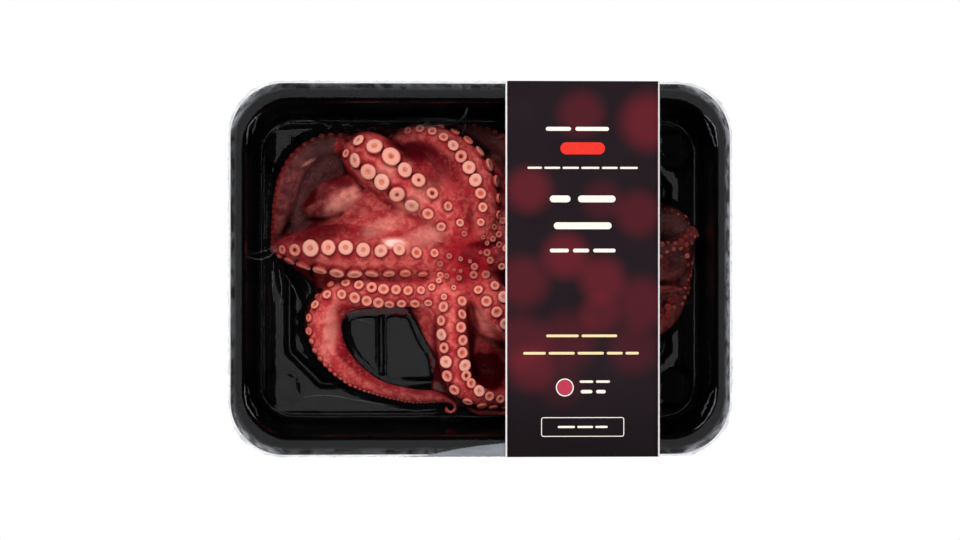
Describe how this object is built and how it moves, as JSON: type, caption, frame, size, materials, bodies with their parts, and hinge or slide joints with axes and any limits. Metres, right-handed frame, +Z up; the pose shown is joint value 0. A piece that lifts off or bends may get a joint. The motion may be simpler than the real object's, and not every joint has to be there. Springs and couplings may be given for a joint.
{
  "type": "skin pack of cooked octopus",
  "caption": "Cooked octopus lying suckers up in a black formed tray, sealed under clear skin film, with a dark printed board sleeve round one side.",
  "frame": {"origin": "on the ground under the middle of the pack", "axes": "+X along the tray's long side towards the sleeve, +Y across the pack, +Z up through the film"},
  "size_m": [0.1914, 0.1436, 0.0351],
  "materials": {
    "tray": "black thermoformed sheet, satin with soft gloss",
    "octopus": null,
    "film": "clear skin film, glossy",
    "sleeve": null
  },
  "bodies": {
    "root": {"tray": "tray", "octopus": "octopus", "film": "film", "sleeve": "sleeve"}
  },
  "joints": []
}
